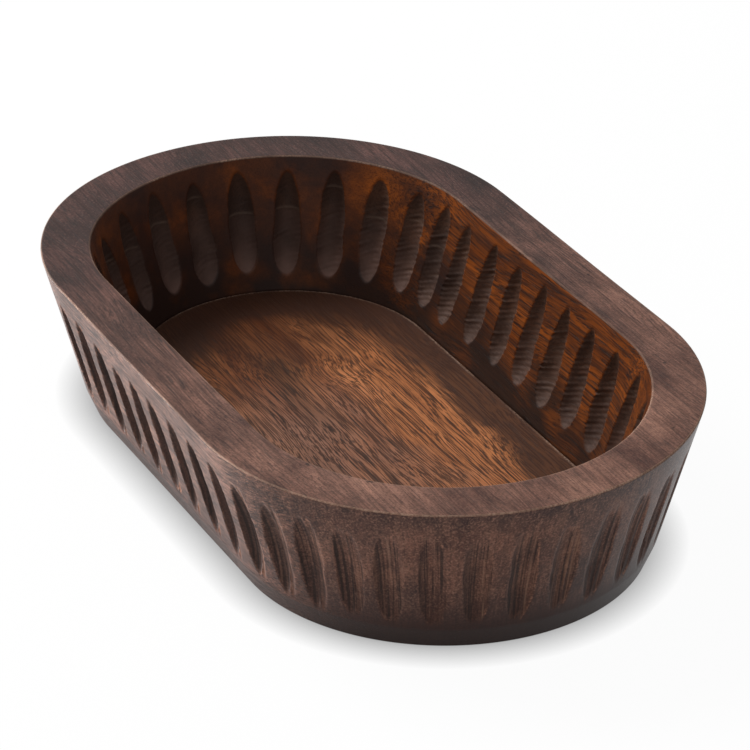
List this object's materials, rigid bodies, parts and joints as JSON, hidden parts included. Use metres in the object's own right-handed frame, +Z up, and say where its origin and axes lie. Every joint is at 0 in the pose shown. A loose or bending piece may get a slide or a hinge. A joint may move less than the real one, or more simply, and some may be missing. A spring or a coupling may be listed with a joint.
{
  "type": "carved wooden bowl",
  "caption": "Oval centrepiece bowl of dark wood with a flat wide rim, leaning walls carved with upright flutes inside and out, and an inset floor board.",
  "frame": {"origin": "middle of the flat foot the bowl stands on", "axes": "+X along the long side of the oval, +Y across it, +Z up out of the mouth"},
  "size_m": [0.254, 0.1524, 0.0508],
  "materials": {
    "wall_wood": "dark stained, satin, worn at the edges",
    "floor_wood": "dark stained with a streaky orange-brown grain, satin"
  },
  "bodies": {
    "root": {"wall_ring": "wall_wood", "floor_board": "floor_wood"}
  },
  "joints": []
}
